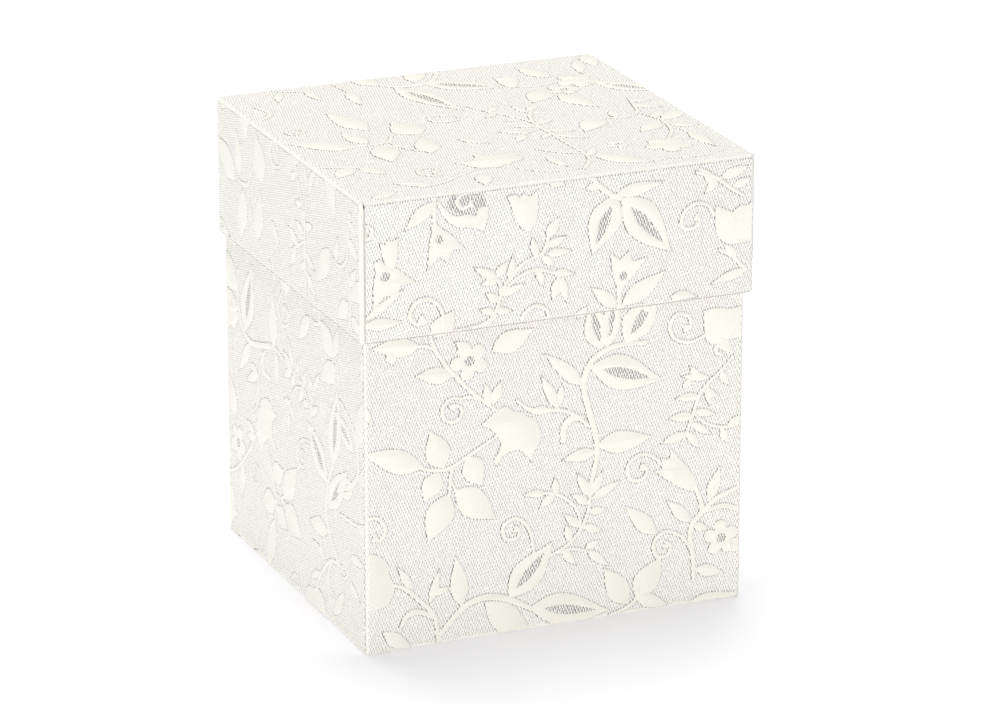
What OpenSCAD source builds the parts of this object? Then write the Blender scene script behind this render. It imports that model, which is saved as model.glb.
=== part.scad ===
// Favour box of folding card: a lift-off lid over a four-panel base with a self-locking bottom.
// Both are folded from one flat blank each, so every panel, flap and tab is a sheet of the same
// card, every crease is a quarter-round of it, and thin glue lines hold the blanks shut.
// The origin is on the floor under the middle of the lid. +X is the right and -Y is the front.

/* [Card] */
// Thickness of the card that both blanks are cut from
card_t = 0.45; // [0.3:0.05:0.55]
// Inside radius of every crease
fold_r = 0.3; // [0.2:0.05:0.5]
// Thickness of a glue line
glue_t = 0.08; // [0.04:0.01:0.12]

/* [Base] */
// Outside width of the base
base_w = 79.6; // [60:0.2:140]
// Outside depth of the base
base_d = 76; // [60:0.2:140]
// Height of the base from the floor to its open rim
base_h = 91; // [50:0.5:160]
// Width of the flap that closes the tube inside the back panel
seam_flap_w = 14; // [8:1:20]

/* [Bottom] */
// Reach of each side flap from its wall towards the middle
side_flap_reach = 31; // [20:1:34]
// Width of the glued wings under the side flaps
wing_w = 10; // [6:1:11]
// Width of the tongues that hook the front and back flaps together
hook_w = 16; // [8:1:20]
// Length of each tongue past the middle of the bottom
hook_reach = 13; // [6:1:18]
// Run over which a side flap climbs from the floor to its own level
ramp_run = 4; // [3:0.5:6]

/* [Lid] */
// Height of the lid from its top face to the lower edge of its walls
lid_h = 27.8; // [15:0.2:45]
// Clearance between each side wall of the lid and a centred base
side_gap = 0.75; // [0.6:0.05:1.5]
// Clearance between the glue tabs in the lid and the base
tab_gap = 0.3; // [0.2:0.05:1]
// Clearance between the lid's top panel and the base's rim
rest_gap = 0.1; // [0.05:0.05:0.3]
// How far the base stands left of the middle of the lid
base_offset = 0.35; // [0:0.05:0.4]
// Width of the glue tabs inside the lid's corners
tab_w = 12; // [8:1:20]
// Gap between a corner fold and the cut end of the wall beside it
cut_gap = 0.15; // [0.1:0.05:0.4]
// Height of the notch left open at each top corner of the lid
corner_notch = 0.5; // [0.3:0.1:1]

/* [Hidden] */
$fn = 48;
CREAM = [0.95, 0.94, 0.91];
CREASE = [0.98, 0.97, 0.94];
WHITE = [0.97, 0.97, 0.96];
GLUE = [0.88, 0.86, 0.78];

fold_o = fold_r + card_t; // outside radius of every crease
slant = 2;                // taper at the ends of flaps and tabs
edge_play = 1;            // play between neighbouring flaps at the walls

// Levels of the bottom, counted up from the floor
wing_z = card_t + glue_t;     // the wings and the tongues
side_z = wing_z + card_t;     // the side flaps
floor_z = side_z + card_t;    // the inside of the box

// Half sizes and heights that the lid takes from the base
wall_gap = tab_gap + card_t + glue_t;
base_x = base_w / 2;
base_y = base_d / 2;
lid_x = base_x + side_gap + card_t;
lid_y = base_y + wall_gap + card_t;
box_h = base_h + rest_gap + card_t;
lid_z = box_h - lid_h;
fold_z = box_h - fold_o;               // where the lid's walls bend into its top
side_y = lid_y - card_t - glue_t;      // outside of the glue tabs
side_half = side_y - fold_o;           // half length of the lid's side walls
front_half = lid_x - fold_o - cut_gap; // half length of the lid's front and back walls
seam_y = base_y - card_t - glue_t;     // outside of the seam flap
flap_x = base_x - fold_o - ramp_run;   // half width of the front and back flaps
crease_y = base_y - fold_o - edge_play - ramp_run; // where the side flaps' bottom creases end
hook_foot = (edge_play + ramp_run) / 2; // where a tongue starts to climb, before the middle
// A wing runs along its flap's 45 degree edge, and stops short of the other tongue's foot
wing_run = min(side_flap_reach - fold_o - ramp_run, crease_y - hook_foot - edge_play);
wing_length = wing_run * sqrt(2);

// ---- Shared shapes ----

// A block between two opposite corners
module block(low, high) {
    translate(low) cube(high - low);
}

// A crease along +Z: a quarter-round of card whose two ends face +X and +Y
module crease(length) {
    rotate([0, 0, 180]) rotate_extrude(angle = 90) translate([fold_r, 0]) square([card_t, length]);
}

// An upright sheet drawn as [x, z] points, with its outer face at y and its inner one behind it
module upright(points, y, t) {
    translate([0, y + t, 0]) rotate([90, 0, 0]) linear_extrude(t) polygon(points);
}

// The base stands a little left of the lid's middle
module on_base() {
    translate([-base_offset, 0, 0]) children();
}

// The bottom's right and back pieces are its left and front ones turned half round
module half_turn() {
    on_base() rotate([0, 0, 180]) children();
}

// The lid's corners are copies of the front left one
module lid_corner(right, back) {
    mirror([right, 0, 0]) mirror([0, back, 0]) children();
}

// ---- Base: the tube ----

// A panel with its lower edge cut out where its bottom flap is folded in
module base_panel(from, to, crease_half, outer_y) {
    difference() {
        block([from, outer_y, 0], [to, outer_y + card_t, base_h]);
        block([-crease_half, outer_y - card_t, -card_t],
              [crease_half, outer_y + 2 * card_t, fold_o]);
    }
}

module base_front_panel() {
    color(CREAM) on_base() base_panel(-base_x + fold_o, base_x - fold_o, flap_x, -base_y);
}

module base_back_panel() {
    color(CREAM) on_base()
        base_panel(-base_x + card_t, base_x - fold_o, flap_x, base_y - card_t);
}

module base_left_panel() {
    color(CREAM) on_base() rotate([0, 0, -90])
        base_panel(-seam_y + fold_o, base_y - fold_o, crease_y, -base_x);
}

module base_right_panel() {
    color(CREAM) on_base() rotate([0, 0, 90])
        base_panel(-base_y + fold_o, base_y - fold_o, crease_y, -base_x);
}

module base_fold_front_left() {
    color(CREASE) on_base() translate([-base_x + fold_o, -base_y + fold_o, 0]) crease(base_h);
}

module base_fold_front_right() {
    color(CREASE) on_base() translate([base_x - fold_o, -base_y + fold_o, 0])
        rotate([0, 0, 90]) crease(base_h);
}

module base_fold_back_right() {
    color(CREASE) on_base() translate([base_x - fold_o, base_y - fold_o, 0])
        rotate([0, 0, 180]) crease(base_h);
}

// The left panel bends here into the flap that is glued inside the back panel
module base_fold_seam() {
    color(CREASE) on_base() translate([-base_x + fold_o, seam_y - fold_o, floor_z])
        rotate([0, 0, -90]) crease(base_h - floor_z);
}

module seam_outline(inset, y, t) {
    left = -base_x + fold_o + inset;
    right = -base_x + fold_o + seam_flap_w - inset;
    low = floor_z + inset;
    high = base_h - inset;
    upright([[left, low], [right, low + slant], [right, high - slant], [left, high]], y, t);
}

module base_seam_flap() {
    color(WHITE) on_base() seam_outline(0, seam_y - card_t, card_t);
}

module base_seam_glue() {
    color(GLUE) on_base() seam_outline(edge_play, seam_y, glue_t);
}

// ---- Base: the bottom ----

// Half of the bottom, with a tongue that climbs over the edge of the other half
module bottom_flap() {
    block([-flap_x, -base_y + fold_o, 0], [flap_x, -edge_play / 2, card_t]);
    step = -edge_play / 2;
    translate([edge_play, 0, 0]) rotate([90, 0, 90]) linear_extrude(hook_w)
        polygon([[-hook_foot, 0], [-hook_foot, card_t], [step, side_z], [hook_reach, side_z],
                 [hook_reach, wing_z], [step, wing_z], [step, 0]]);
}

module bottom_flap_front() {
    color(WHITE) on_base() bottom_flap();
}

module bottom_flap_back() {
    color(WHITE) half_turn() bottom_flap();
}

// The side flap is cut off at 45 degrees along the crease of its glued wing
module side_flap() {
    wall = -base_x + fold_o;
    foot = wall + ramp_run;
    reach = -base_x + side_flap_reach;
    rotate([90, 0, 0]) translate([0, 0, -crease_y]) linear_extrude(2 * crease_y)
        polygon([[wall, 0], [foot, side_z], [foot, floor_z], [wall, card_t]]);
    translate([0, 0, side_z]) linear_extrude(card_t)
        polygon([[foot, -crease_y], [reach, -crease_y + 2 * slant],
                 [reach, crease_y - reach + foot], [foot, crease_y]]);
}

module bottom_flap_left() {
    color(WHITE) on_base() side_flap();
}

module bottom_flap_right() {
    color(WHITE) half_turn() side_flap();
}

// A crease at the bottom of a wall: half_length each way along X, its outside on the floor
module bottom_crease(half_length, y) {
    translate([-half_length, -y + fold_o, fold_o]) rotate([90, 0, 90]) crease(2 * half_length);
}

module bottom_fold_front() {
    color(CREASE) on_base() bottom_crease(flap_x, base_y);
}

module bottom_fold_back() {
    color(CREASE) half_turn() bottom_crease(flap_x, base_y);
}

module bottom_fold_left() {
    color(CREASE) on_base() rotate([0, 0, -90]) bottom_crease(crease_y, base_x);
}

module bottom_fold_right() {
    color(CREASE) half_turn() rotate([0, 0, -90]) bottom_crease(crease_y, base_x);
}

// Runs along the side flap's 45 degree edge: +X is inwards along it, -Y is under the flap
module along_wing() {
    translate([-base_x + fold_o + ramp_run, crease_y, 0]) rotate([0, 0, -45]) children();
}

module wing_outline(inset) {
    polygon([[edge_play + inset, -inset], [wing_length - inset, -inset],
             [wing_length - wing_w, -wing_w + inset], [edge_play + wing_w, -wing_w + inset]]);
}

module wing() {
    along_wing() translate([0, 0, wing_z]) linear_extrude(card_t) wing_outline(0);
}

module wing_glue() {
    along_wing() translate([0, 0, card_t]) linear_extrude(glue_t) wing_outline(edge_play);
}

// The half-round edge where the wing turns back under the side flap
module wing_crease() {
    along_wing() translate([edge_play, 0, side_z]) rotate([0, 90, 0])
        rotate_extrude(angle = 180) square([card_t, wing_length - edge_play]);
}

module bottom_wing_left() {
    color(WHITE) on_base() wing();
}

module bottom_wing_right() {
    color(WHITE) half_turn() wing();
}

module bottom_wing_fold_left() {
    color(WHITE) on_base() wing_crease();
}

module bottom_wing_fold_right() {
    color(WHITE) half_turn() wing_crease();
}

module bottom_glue_left() {
    color(GLUE) on_base() wing_glue();
}

module bottom_glue_right() {
    color(GLUE) half_turn() wing_glue();
}

// ---- Lid ----

module lid_top_panel() {
    color(CREAM) block([-lid_x + fold_o, -lid_y + fold_o, box_h - card_t],
                       [lid_x - fold_o, lid_y - fold_o, box_h]);
}

module front_wall() {
    block([-front_half, -lid_y, lid_z], [front_half, -lid_y + card_t, fold_z]);
}

module side_wall() {
    block([-lid_x, -side_half, lid_z], [-lid_x + card_t, side_half, fold_z]);
}

module lid_front_wall() {
    color(CREAM) front_wall();
}

module lid_back_wall() {
    color(CREAM) mirror([0, 1, 0]) front_wall();
}

module lid_left_wall() {
    color(CREAM) side_wall();
}

module lid_right_wall() {
    color(CREAM) mirror([1, 0, 0]) side_wall();
}

// A crease along a top edge of the lid: half_length each way along X
module top_crease(half_length, y) {
    translate([-half_length, -y + fold_o, fold_z]) rotate([90, 0, 90]) rotate([0, 0, -90])
        crease(2 * half_length);
}

module lid_fold_front() {
    color(CREASE) top_crease(front_half, lid_y);
}

module lid_fold_back() {
    color(CREASE) rotate([0, 0, 180]) top_crease(front_half, lid_y);
}

module lid_fold_left() {
    color(CREASE) rotate([0, 0, -90]) top_crease(side_half, lid_x);
}

module lid_fold_right() {
    color(CREASE) rotate([0, 0, 90]) top_crease(side_half, lid_x);
}

// The upright crease where a side wall turns in behind the front or back wall
module corner_fold() {
    translate([-lid_x + fold_o, -side_half, lid_z]) crease(fold_z - corner_notch - lid_z);
}

module tab_outline(inset, y, t) {
    left = -lid_x + fold_o + inset;
    right = -lid_x + fold_o + tab_w - inset;
    low = lid_z + inset;
    high = fold_z - corner_notch - inset;
    upright([[left, low], [right, low + slant], [right, high - slant], [left, high]], y, t);
}

module corner_tab() {
    tab_outline(0, -side_y, card_t);
}

module corner_glue() {
    intersection() {
        tab_outline(edge_play, -side_y - glue_t, glue_t);
        block([-front_half, -lid_y, lid_z], [0, 0, box_h]);
    }
}

module lid_corner_front_left() {
    color(CREASE) corner_fold();
}

module lid_corner_front_right() {
    color(CREASE) lid_corner(1, 0) corner_fold();
}

module lid_corner_back_left() {
    color(CREASE) lid_corner(0, 1) corner_fold();
}

module lid_corner_back_right() {
    color(CREASE) lid_corner(1, 0) lid_corner(0, 1) corner_fold();
}

module lid_tab_front_left() {
    color(WHITE) corner_tab();
}

module lid_tab_front_right() {
    color(WHITE) lid_corner(1, 0) corner_tab();
}

module lid_tab_back_left() {
    color(WHITE) lid_corner(0, 1) corner_tab();
}

module lid_tab_back_right() {
    color(WHITE) lid_corner(1, 0) lid_corner(0, 1) corner_tab();
}

module lid_glue_front_left() {
    color(GLUE) corner_glue();
}

module lid_glue_front_right() {
    color(GLUE) lid_corner(1, 0) corner_glue();
}

module lid_glue_back_left() {
    color(GLUE) lid_corner(0, 1) corner_glue();
}

module lid_glue_back_right() {
    color(GLUE) lid_corner(1, 0) lid_corner(0, 1) corner_glue();
}

base_front_panel();
base_back_panel();
base_left_panel();
base_right_panel();
base_fold_front_left();
base_fold_front_right();
base_fold_back_right();
base_fold_seam();
base_seam_flap();
base_seam_glue();
bottom_flap_front();
bottom_flap_back();
bottom_flap_left();
bottom_flap_right();
bottom_fold_front();
bottom_fold_back();
bottom_fold_left();
bottom_fold_right();
bottom_wing_left();
bottom_wing_right();
bottom_wing_fold_left();
bottom_wing_fold_right();
bottom_glue_left();
bottom_glue_right();
lid_top_panel();
lid_front_wall();
lid_back_wall();
lid_left_wall();
lid_right_wall();
lid_fold_front();
lid_fold_back();
lid_fold_left();
lid_fold_right();
lid_corner_front_left();
lid_corner_front_right();
lid_corner_back_left();
lid_corner_back_right();
lid_tab_front_left();
lid_tab_front_right();
lid_tab_back_left();
lid_tab_back_right();
lid_glue_front_left();
lid_glue_front_right();
lid_glue_back_left();
lid_glue_back_right();
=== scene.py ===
"""Builds the looks of a woven-effect card favour box with a lift-off lid.

Every wall is cut flat on the bench in millimetres, as a card maker would, and then stood in its
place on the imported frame. The raised vine pattern is drawn flat too, raised in steps, and laid
over each wall, running a little way round the creases.
"""

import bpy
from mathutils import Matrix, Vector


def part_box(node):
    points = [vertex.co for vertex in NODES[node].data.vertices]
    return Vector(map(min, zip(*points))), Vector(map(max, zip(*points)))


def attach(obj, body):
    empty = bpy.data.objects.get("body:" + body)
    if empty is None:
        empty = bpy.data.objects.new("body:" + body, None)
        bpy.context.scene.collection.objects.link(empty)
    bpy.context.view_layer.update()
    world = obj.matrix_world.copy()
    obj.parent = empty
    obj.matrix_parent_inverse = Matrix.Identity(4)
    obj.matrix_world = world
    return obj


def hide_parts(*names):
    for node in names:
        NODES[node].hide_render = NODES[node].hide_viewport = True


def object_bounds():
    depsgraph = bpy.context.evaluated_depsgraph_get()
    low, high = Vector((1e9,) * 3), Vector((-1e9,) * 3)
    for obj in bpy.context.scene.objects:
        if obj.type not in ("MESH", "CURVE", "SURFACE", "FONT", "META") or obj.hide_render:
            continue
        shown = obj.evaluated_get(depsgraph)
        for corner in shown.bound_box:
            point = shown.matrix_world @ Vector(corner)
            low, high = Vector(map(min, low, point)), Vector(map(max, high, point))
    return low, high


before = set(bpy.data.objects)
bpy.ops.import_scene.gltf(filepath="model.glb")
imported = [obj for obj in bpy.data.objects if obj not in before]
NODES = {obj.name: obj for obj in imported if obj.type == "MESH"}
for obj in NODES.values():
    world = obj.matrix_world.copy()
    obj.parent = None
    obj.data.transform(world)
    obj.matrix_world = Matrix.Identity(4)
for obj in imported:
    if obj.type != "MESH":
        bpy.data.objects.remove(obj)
CAD_BOX = [list(corner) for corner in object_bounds()]

import math

import bpy
import numpy as np
from mathutils import Matrix, Vector
from mathutils.geometry import tessellate_polygon

bl_info = {
    "name": "Wedding card box",
    "version": (1, 0, 0),
    "blender": (4, 5, 0),
    "location": "3D Viewport > Sidebar > Card box",
    "description": "Builds a raised-pattern card box with a lift-off lid around its packed frame",
    "category": "Object",
}

MM = 0.001
TURN = 2 * math.pi
CARD = (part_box("lid_top_panel")[1].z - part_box("lid_top_panel")[0].z) / MM
FOLD = (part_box("base_fold_front_left")[1].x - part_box("base_fold_front_left")[0].x) / MM
LID_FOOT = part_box("lid_front_wall")[0].z / MM
LID_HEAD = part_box("lid_top_panel")[1].z / MM
BASE_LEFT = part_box("base_fold_front_left")[0].x / MM
LID_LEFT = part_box("lid_fold_left")[0].x / MM
LID_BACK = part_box("lid_fold_back")[1].y / MM
MIDDLE = (Vector(CAD_BOX[0]) + Vector(CAD_BOX[1])) / 2


# ---------------------------------------------------------------- settings


def tone(name, text, red, green, blue):
    """A colour property from screen values of 0 to 255, kept as linear light."""
    line = [((c / 255 + 0.055) / 1.055) ** 2.4 for c in (red, green, blue)]
    return bpy.props.FloatVectorProperty(
        name=name, description=text, subtype="COLOR", size=3, min=0, max=1, default=line
    )


class CardSizes(bpy.types.PropertyGroup):
    raise_height: bpy.props.FloatProperty(
        name="Raised height", description="How far the motifs stand above the woven ground",
        default=0.11 * MM, min=0.02 * MM, max=0.25 * MM, unit="LENGTH", precision=5)
    skirt: bpy.props.FloatProperty(
        name="Pressed margin", description="Width of the pressed line round each motif",
        default=0.29 * MM, min=0.05 * MM, max=0.6 * MM, unit="LENGTH", precision=5)
    edge_round: bpy.props.FloatProperty(
        name="Cut edge rounding", description="Rounding of the die-cut card edges",
        default=0.14 * MM, min=0.01 * MM, max=0.2 * MM, unit="LENGTH", precision=5)
    weave_pitch: bpy.props.FloatProperty(
        name="Weave pitch", description="Distance between the upright strokes of the weave",
        default=0.56 * MM, min=0.2 * MM, max=3 * MM, unit="LENGTH", precision=5)
    weave_rise: bpy.props.FloatProperty(
        name="Weave row height", description="Distance between the rows of the weave",
        default=1.44 * MM, min=0.4 * MM, max=6 * MM, unit="LENGTH", precision=5)


class CardColours(bpy.types.PropertyGroup):
    ground_light: tone("Weave light", "Colour of the raised threads of the ground", 253, 251, 244)
    # The weave's dark tone is painted shade between the raised threads, standing in for the shadows of
    # their tiny relief; the plain card also takes it for its random fibre specks.
    ground_dark: tone("Weave dark", "Colour between the threads of the ground", 203, 199, 192)
    motif: tone("Motif", "Colour of the smooth raised motifs", 249, 247, 235)
    # The dashes round the motifs and along the creases are painted shade: dark weave gaps along embossed
    # edges and folds, where shade falls.
    dash: tone("Pressed dash", "Colour of the dark dashes round the motifs", 96, 92, 86)
    plain: tone("Plain card", "Colour of creases, cut edges and the inside", 248, 247, 240)
    # The cut edge's grey is partly the card's real core and partly painted shade of the narrow gap beside
    # it.
    core: tone("Cut edge", "Colour of the card's core at its cut edges", 206, 203, 196)
    # The lower edge's colour is mostly a painted contact shadow under the lid, over the real pressed cut
    # line of the card.
    foot: tone("Lower edge", "Colour of the lid's lower edge, where the card's core shows", 186, 182, 173)
    paste: tone("Dried glue", "Colour of the dried glue lines", 236, 228, 204)


class StudioSettings(bpy.types.PropertyGroup):
    azimuth: bpy.props.FloatProperty(
        name="Camera azimuth", description="Camera's turn round the box",
        default=math.radians(-23.03), subtype="ANGLE")
    elevation: bpy.props.FloatProperty(
        name="Camera elevation", description="Camera's height above the horizon",
        default=math.radians(18.96), subtype="ANGLE")
    distance: bpy.props.FloatProperty(
        name="Camera distance", description="From the box's middle to the camera",
        default=1.0445, min=0.2, unit="LENGTH")
    lens: bpy.props.FloatProperty(
        name="Lens", description="Focal length in millimetres", default=191.1, min=20)
    sky: bpy.props.FloatProperty(
        name="Room light", description="Strength of the even white room light", default=0.35)
    back: bpy.props.FloatProperty(
        name="Back light", description="Power of the high soft light behind the box",
        default=16.9, unit="POWER")
    front: bpy.props.FloatProperty(
        name="Front light", description="Power of the low soft light in front", default=8.9, unit="POWER")
    side: bpy.props.FloatProperty(
        name="Left light", description="Power of the low soft light at the left", default=7.6, unit="POWER")
    glow: bpy.props.FloatProperty(
        name="Floor glow", description="Light that the white table gives by itself", default=0.16, min=0)


# ---------------------------------------------------------------- shader tools


class Num:
    """A number in a shader. Python arithmetic on it adds Math nodes."""

    def __init__(self, finish, socket):
        self.finish, self.socket = finish, socket

    def _math(self, operation, *values, clamp=False):
        made = self.finish.add(
            "ShaderNodeMath", dict(enumerate(values)), operation=operation, use_clamp=clamp)
        return Num(self.finish, made)

    def __add__(self, other):
        return self._math("ADD", self, other)

    def __sub__(self, other):
        return self._math("SUBTRACT", self, other)

    def __rsub__(self, other):
        return self._math("SUBTRACT", other, self)

    def __mul__(self, other):
        return self._math("MULTIPLY", self, other)

    __radd__, __rmul__ = __add__, __mul__

    def cos(self):
        return self._math("COSINE", self)

    def held(self):
        """The number, kept between 0 and 1."""
        return self._math("ADD", self, 0.0, clamp=True)

    def ramp(self, low, high):
        """0 below low, 1 above high and a smooth rise between."""
        made = self.finish.add(
            "ShaderNodeMapRange", {"Value": self, "From Min": low, "From Max": high},
            interpolation_type="SMOOTHSTEP")
        return Num(self.finish, made)


class Finish:
    """A material being made: add() makes any node, shade() ends it."""

    def __init__(self, name):
        self.material = bpy.data.materials.new(name)
        self.material.use_nodes = True
        self.tree = self.material.node_tree
        self.tree.nodes.clear()

    def add(self, kind, inputs=(), out=0, **settings):
        node = self.tree.nodes.new(kind)
        for key, value in settings.items():
            setattr(node, key, value)
        for key, value in dict(inputs).items():
            socket = node.inputs[key]
            if isinstance(value, Num):
                value = value.socket
            if isinstance(value, bpy.types.NodeSocket):
                self.tree.links.new(value, socket)
            else:
                socket.default_value = value
        return node.outputs[out]

    def number(self, *args, **kwargs):
        return Num(self, self.add(*args, **kwargs))

    def noise(self, where, scale, detail=2.0, roughness=0.5):
        """Noise around 0, of about -1 to 1."""
        value = self.number("ShaderNodeTexNoise", {
            "Vector": where, "Scale": scale, "Detail": detail, "Roughness": roughness})
        return (value - 0.5) * 2.0

    def mix(self, amount, first, second):
        """The first colour going over to the second."""
        colours = {6: first, 7: second}
        colours = {k: (*v, 1.0) if isinstance(v, tuple) else v for k, v in colours.items()}
        return self.add("ShaderNodeMix", {0: amount, **colours}, out=2, data_type="RGBA")

    def tint(self, colour, amount):
        """The colour made darker or lighter by a number near 0."""
        grey = self.add("ShaderNodeCombineXYZ", {k: amount + 1.0 for k in "XYZ"})
        return self.add("ShaderNodeVectorMath", {0: colour, 1: grey}, operation="MULTIPLY")

    def attribute(self, name):
        return self.number("ShaderNodeAttribute", out=2, attribute_name=name)

    def shade(self, colour, roughness, height, depth, **constants):
        """Ends the material with a bumped surface; depth is the bump's size in metres."""
        bump = self.add("ShaderNodeBump", {"Strength": 1.0, "Distance": depth, "Height": height})
        inputs = {"Base Color": colour, "Roughness": roughness, "Normal": bump}
        inputs.update({k.replace("_", " "): v for k, v in constants.items()})
        surface = self.add("ShaderNodeBsdfPrincipled", inputs)
        output = self.tree.nodes.new("ShaderNodeOutputMaterial")
        self.tree.links.new(surface, output.inputs["Surface"])
        return self.material


def colour(name):
    """One of the card's colours, as the settings have it."""
    return tuple(getattr(bpy.context.scene.card_colours, name))


def woven_card():
    """Outer face: short slanting strokes in brick order with painted shade between them, smooth raised
    motifs, and margins dashed with painted shade.
    """
    sizes = bpy.context.scene.card_sizes
    f = Finish("embossed card")
    sheet = f.add("ShaderNodeUVMap", uv_map="sheet")
    u = f.number("ShaderNodeSeparateXYZ", {0: sheet}, out=0)
    v = f.number("ShaderNodeSeparateXYZ", {0: sheet}, out=1)
    wander = f.noise(sheet, 0.9, 2.0)
    shiver = f.noise(sheet, 2.6, 1.0)
    patchy = f.noise(sheet, 0.16, 2.0)
    across = u * (TURN * MM / sizes.weave_pitch) + wander * 1.5 + shiver * 0.9
    along = v * (TURN * MM / sizes.weave_rise) - u * (TURN * 0.185) + shiver * 2.2
    stroke = across.cos() * along.cos()
    fibre = f.noise(sheet, 5.0, 2.0)
    # dark marks the gaps between the threads, where the weave gets painted shade as well as a bump.
    dark = (stroke + shiver * 0.7 + fibre * 0.7).ramp(-0.3, 0.8)
    raised, rim = f.attribute("raised"), f.attribute("rim")
    ground = f.mix(dark, colour("ground_light"), colour("ground_dark"))
    ground = f.tint(ground, patchy * 0.014)
    smooth_top = f.tint(f.mix(dark * 0.16, colour("motif"), colour("ground_dark")),
                        fibre * 0.008 + patchy * 0.006)
    body = f.mix(raised, ground, smooth_top)
    # The dashes are painted shade along the motifs' margins and the crease lines, as strong as the
    # attribute that carries them.
    shade_dashes = (stroke + shiver * 0.5).ramp(-0.35, 0.35) * rim
    body = f.mix(shade_dashes.held(), body, colour("dash"))
    height = (0.5 - dark * 0.5) * (1.0 - raised * 0.85) + fibre * 0.06
    rough = 0.62 - raised * 0.1 + dark * 0.06
    return f.shade(body, rough, height, 0.02 * MM, Specular_IOR_Level=0.35)


def plain_card(name, shade_name, grain, roughness):
    """Creases, cut edges and inside: uncoated white card with a fine fibre."""
    f = Finish(name)
    place = f.add("ShaderNodeTexCoord", out=3)
    fibre = f.noise(place, grain, 4.0, 0.65)
    cloud = f.noise(place, grain / 40, 2.0)
    body = f.tint(f.mix((fibre * 0.12).held(), colour(shade_name), colour("ground_dark")),
                  cloud * 0.02 + fibre * 0.012)
    rough = fibre * 0.06 + roughness
    return f.shade(body, rough, fibre * 0.5 + 0.5, 0.012 * MM, Specular_IOR_Level=0.3)


FINISHES = {}


def finish(slot):
    """The material of one of the record's slots, made when first asked for."""
    if slot not in FINISHES:
        FINISHES[slot] = {
            "embossed_card": woven_card,
            "card_crease": lambda: plain_card("card crease", "plain", 2600.0, 0.6),
            "card_inside": lambda: plain_card("card inside", "plain", 1900.0, 0.75),
            "cut_edge": lambda: plain_card("cut edge", "core", 2600.0, 0.8),
            "foot_edge_shadow": lambda: plain_card("lower edge", "foot", 2600.0, 0.85),
            "glue_line": lambda: plain_card("glue line", "paste", 900.0, 0.35),
        }[slot]()
    return FINISHES[slot]


# ---------------------------------------------------------------- bench


class Face:
    """One outer face of the box: sheet millimetres (right, up, out) to the frame's metres.

    edges says what is at the left, right, bottom and top: a fold, which the pattern runs
    round, or a cut, where it stops square.
    """

    def __init__(self, node, right, up, out, edges):
        self.right, self.up, self.out = (Vector(a) for a in (right, up, out))
        corners = [Vector(c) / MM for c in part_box(node)]
        spans = [sorted(c.dot(axis) for c in corners) for axis in (self.right, self.up, self.out)]
        (self.left, self.right_end), (self.low, self.high), (_, self.plane) = spans
        self.edges = dict(zip(("left", "right", "bottom", "top"), edges))
        self.crease = FOLD if node.startswith("base") else 0.0

    def limits(self):
        return self.left, self.right_end, self.low, self.high

    def stand(self, co, tucked):
        """Flat sheet points to their place on the box, metres, tucked round the bottom crease or not."""
        u, v, w = (np.array(co[:, i], float) for i in range(3))
        if tucked and self.crease:
            v, w = bend(v, w, -1, self.low + self.crease, True)
        for name, sign, limit in (("left", -1, self.left), ("right", 1, self.right_end)):
            u, w = bend(u, w, sign, limit, self.edges[name] == "fold")
        for name, sign, limit in (("bottom", -1, self.low), ("top", 1, self.high)):
            v, w = bend(v, w, sign, limit, self.edges[name] == "fold")
        axes = np.array([self.right, self.up, self.out])
        return (np.stack([u, v, w + self.plane], axis=1) @ axes) * MM


def bend(along, out, sign, limit, fold):
    """Wraps what lies past an edge round its fold, or holds it at a cut edge."""
    past = sign * (along - limit)
    turned = np.clip(past, 0, None) / FOLD
    radius = FOLD + out
    if fold:
        moved, lifted = limit + sign * radius * np.sin(turned), radius * np.cos(turned) - FOLD
    else:
        moved, lifted = np.full_like(along, limit), out
    outside = past > 0
    return np.where(outside, moved, along), np.where(outside, lifted, out)


RIGHT, LEFT, BACK, FRONT, UP = (1, 0, 0), (-1, 0, 0), (0, 1, 0), (0, -1, 0), (0, 0, 1)
FACES = {
    "base_front": Face("base_front_panel", RIGHT, UP, FRONT, ("fold", "fold", "cut", "cut")),
    "base_back": Face("base_back_panel", LEFT, UP, BACK, ("fold", "cut", "cut", "cut")),
    "base_left": Face("base_left_panel", FRONT, UP, LEFT, ("fold", "fold", "cut", "cut")),
    "base_right": Face("base_right_panel", BACK, UP, RIGHT, ("fold", "fold", "cut", "cut")),
    "lid_front": Face("lid_front_wall", RIGHT, UP, FRONT, ("cut", "cut", "cut", "fold")),
    "lid_back": Face("lid_back_wall", LEFT, UP, BACK, ("cut", "cut", "cut", "fold")),
    "lid_left": Face("lid_left_wall", FRONT, UP, LEFT, ("fold", "fold", "cut", "fold")),
    "lid_right": Face("lid_right_wall", BACK, UP, RIGHT, ("fold", "fold", "cut", "fold")),
    "lid_top": Face("lid_top_panel", RIGHT, BACK, UP, ("fold", "fold", "fold", "fold")),
}
TURNED_WEAVE = ("base_left", "base_right", "lid_left", "lid_right")
# The weave's scale across its strokes and along its rows, on the side walls and on the top.
SIDE_WEAVE = (1.3, -0.68)
TOP_WEAVE = (0.95, 0.68)
# Millimetres: the strip of painted shadow over the cut line along the lid's lower edge, how far a lid
# corner's crease runs up before its head is rounded, and how high the glued seam's crease starts.
EDGE_BAND = 0.2
CORNER_HEAD = 0.45
SEAM_FOOT = 0.15
# Edges that turn less than this are shaded smooth, on the card and on the motifs.
CARD_ANGLE = math.radians(40)
MOTIF_ANGLE = math.radians(28)


def free_hands():
    """Nothing selected and nothing in edit mode."""
    if bpy.context.object and bpy.context.object.mode != "OBJECT":
        bpy.ops.object.mode_set(mode="OBJECT")
    bpy.ops.object.select_all(action="DESELECT")


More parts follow.
